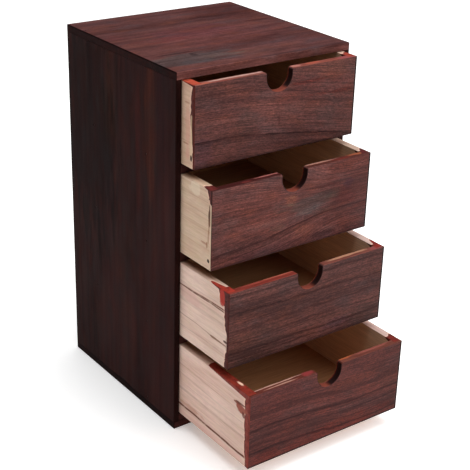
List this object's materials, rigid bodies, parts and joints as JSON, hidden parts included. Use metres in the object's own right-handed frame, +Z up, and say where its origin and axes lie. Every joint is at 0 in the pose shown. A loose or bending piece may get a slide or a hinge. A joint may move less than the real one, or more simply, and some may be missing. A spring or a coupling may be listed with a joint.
{
  "type": "desktop mini drawers",
  "caption": "Small dark-stained wooden desk chest with stacked sliding drawers of raw wood, each with a stained front and a half-round finger notch in its top edge.",
  "frame": {"origin": "centre of the cabinet's underside, where it stands on a surface", "axes": "+Z up, -Y the way the drawers pull out, +X to the right seen from the front"},
  "size_m": [0.136, 0.2112, 0.25],
  "materials": {
    "stained_wood": "dark red-brown stain over open grain, satin",
    "raw_wood": "bare, sanded, with stain bleeding in at the front",
    "brad_steel": "drawn wire, dull"
  },
  "bodies": {
    "cabinet": {"top_board": "stained_wood", "bottom_board": "stained_wood", "left_side": "stained_wood", "right_side": "stained_wood", "back_panel": "stained_wood", "shelf_1": "stained_wood", "shelf_2": "stained_wood", "shelf_3": "stained_wood", "shelf_4": "stained_wood", "cabinet_brads": "brad_steel"},
    "drawer_1": {"drawer_1_front": "stained_wood", "drawer_1_left_side": "raw_wood", "drawer_1_right_side": "raw_wood", "drawer_1_back": "raw_wood", "drawer_1_floor": "raw_wood", "drawer_1_brads": "brad_steel"},
    "drawer_2": {"drawer_2_front": "stained_wood", "drawer_2_left_side": "raw_wood", "drawer_2_right_side": "raw_wood", "drawer_2_back": "raw_wood", "drawer_2_floor": "raw_wood", "drawer_2_brads": "brad_steel"},
    "drawer_3": {"drawer_3_front": "stained_wood", "drawer_3_left_side": "raw_wood", "drawer_3_right_side": "raw_wood", "drawer_3_back": "raw_wood", "drawer_3_floor": "raw_wood", "drawer_3_brads": "brad_steel"},
    "drawer_4": {"drawer_4_front": "stained_wood", "drawer_4_left_side": "raw_wood", "drawer_4_right_side": "raw_wood", "drawer_4_back": "raw_wood", "drawer_4_floor": "raw_wood", "drawer_4_brads": "brad_steel"}
  },
  "joints": [
    {"name": "drawer_1_slide", "type": "slide", "parent": "cabinet", "child": "drawer_1", "axis": [0, -1, 0], "range_m": [-0.0131, 0.0869]},
    {"name": "drawer_2_slide", "type": "slide", "parent": "cabinet", "child": "drawer_2", "axis": [0, -1, 0], "range_m": [-0.0328, 0.0672]},
    {"name": "drawer_3_slide", "type": "slide", "parent": "cabinet", "child": "drawer_3", "axis": [0, -1, 0], "range_m": [-0.0529, 0.0471]},
    {"name": "drawer_4_slide", "type": "slide", "parent": "cabinet", "child": "drawer_4", "axis": [0, -1, 0], "range_m": [-0.0772, 0.0228]}
  ]
}
